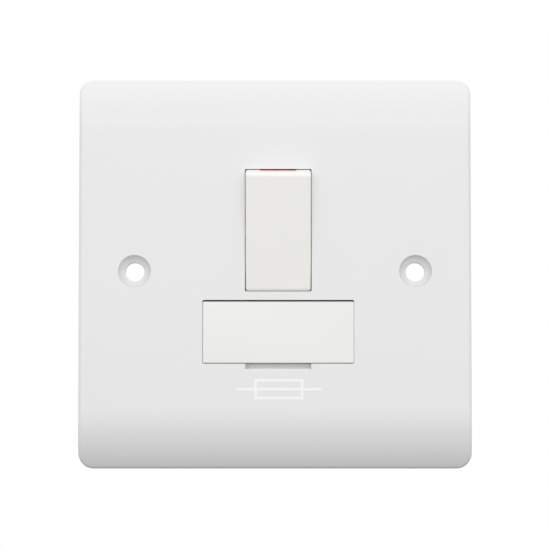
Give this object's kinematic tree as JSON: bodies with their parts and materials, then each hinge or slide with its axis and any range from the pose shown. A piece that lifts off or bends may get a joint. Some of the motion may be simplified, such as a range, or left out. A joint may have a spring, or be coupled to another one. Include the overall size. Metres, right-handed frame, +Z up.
{
  "type": "fused spur unit",
  "caption": "Square moulded wall plate with a rocker switch, a slide-out fuse carrier and a rear housing with clamp terminals for fixed wiring.",
  "frame": {"origin": "on the wall plane, midway between the two fixing screw holes, which is also the middle of the plate's rim", "axes": "+Y into the wall, so the front faces -Y; +X to the right as seen from the front; +Z up"},
  "size_m": [0.085, 0.0278, 0.0842],
  "materials": {
    "plate_moulding": "compression-moulded white thermoset with a smooth glossy face",
    "key_moulding": "injection-moulded white thermoplastic, slightly warmer than the plate",
    "plunger_moulding": "natural nylon",
    "spring_wire": "coiled stainless spring wire",
    "copper_bar": "pressed copper alloy",
    "contact_silver": "silver contact button",
    "pressed_brass": "pressed brass strip",
    "terminal_brass": "sawn and drilled brass bar",
    "plated_screw": "bright zinc-plated steel",
    "housing_moulding": "moulded off-white thermoplastic with a fine satin grain",
    "fuse_ceramic": "unglazed cream ceramic",
    "cap_nickel": "nickel-plated cap",
    "fuse_wire": "plated copper wire",
    "clip_bronze": "sprung phosphor bronze strip",
    "rivet_brass": "brass rivet"
  },
  "bodies": {
    "unit": {"front_plate": "plate_moulding", "fixed_contact_tips": "contact_silver", "line_fulcrum": "pressed_brass", "neutral_fulcrum": "pressed_brass", "supply_line_contact": "pressed_brass", "supply_neutral_contact": "pressed_brass", "load_line_strip": "pressed_brass", "supply_line_terminal": "terminal_brass", "supply_neutral_terminal": "terminal_brass", "load_line_terminal": "terminal_brass", "load_neutral_terminal": "terminal_brass", "earth_terminal": "terminal_brass", "terminal_screws": "plated_screw", "rear_housing": "housing_moulding", "housing_screws": "plated_screw", "line_fuse_clip": "clip_bronze", "load_fuse_clip": "clip_bronze", "clip_rivets": "rivet_brass"},
    "rocker": {"switch_rocker": "key_moulding", "line_plunger_spring": "spring_wire", "neutral_plunger_spring": "spring_wire"},
    "line_plunger": {"line_plunger": "plunger_moulding"},
    "neutral_plunger": {"neutral_plunger": "plunger_moulding"},
    "line_bar": {"line_contact_bar": "copper_bar", "line_moving_tip": "contact_silver"},
    "neutral_bar": {"neutral_contact_bar": "copper_bar", "neutral_moving_tip": "contact_silver"},
    "carrier": {"fuse_carrier": "key_moulding", "fuse_tube": "fuse_ceramic", "fuse_cap_left": "cap_nickel", "fuse_cap_right": "cap_nickel", "fuse_element": "fuse_wire"}
  },
  "joints": [
    {"name": "rocker_hinge", "type": "hinge", "parent": "unit", "child": "rocker", "pos_m": [0.0007, -0.006, 0.00894], "axis": [-1, 0, 0], "range_deg": [0, 18]},
    {"name": "line_plunger_slide", "type": "slide", "parent": "rocker", "child": "line_plunger", "axis": [0, -0.9877, -0.1564], "range_m": [0, 0.001], "stiffness_N_per_m": 800, "springref_m": -0.0015, "deforming": ["line_plunger_spring"]},
    {"name": "neutral_plunger_slide", "type": "slide", "parent": "rocker", "child": "neutral_plunger", "axis": [0, -0.9877, -0.1564], "range_m": [0, 0.001], "stiffness_N_per_m": 800, "springref_m": -0.0015, "deforming": ["neutral_plunger_spring"]},
    {"name": "line_bar_rock", "type": "hinge", "parent": "unit", "child": "line_bar", "pos_m": [-0.0033, 0.00365, 0.00894], "axis": [1, 0, 0], "range_deg": [0, 18]},
    {"name": "neutral_bar_rock", "type": "hinge", "parent": "unit", "child": "neutral_bar", "pos_m": [0.0047, 0.00365, 0.00894], "axis": [1, 0, 0], "range_deg": [0, 18]},
    {"name": "carrier_slide", "type": "slide", "parent": "unit", "child": "carrier", "axis": [0, -1, 0], "range_m": [0, 0.012]}
  ],
  "couplings": [
    {"joint": "line_bar_rock", "follows": "rocker_hinge", "ratio": 1},
    {"joint": "neutral_bar_rock", "follows": "rocker_hinge", "ratio": 1}
  ]
}
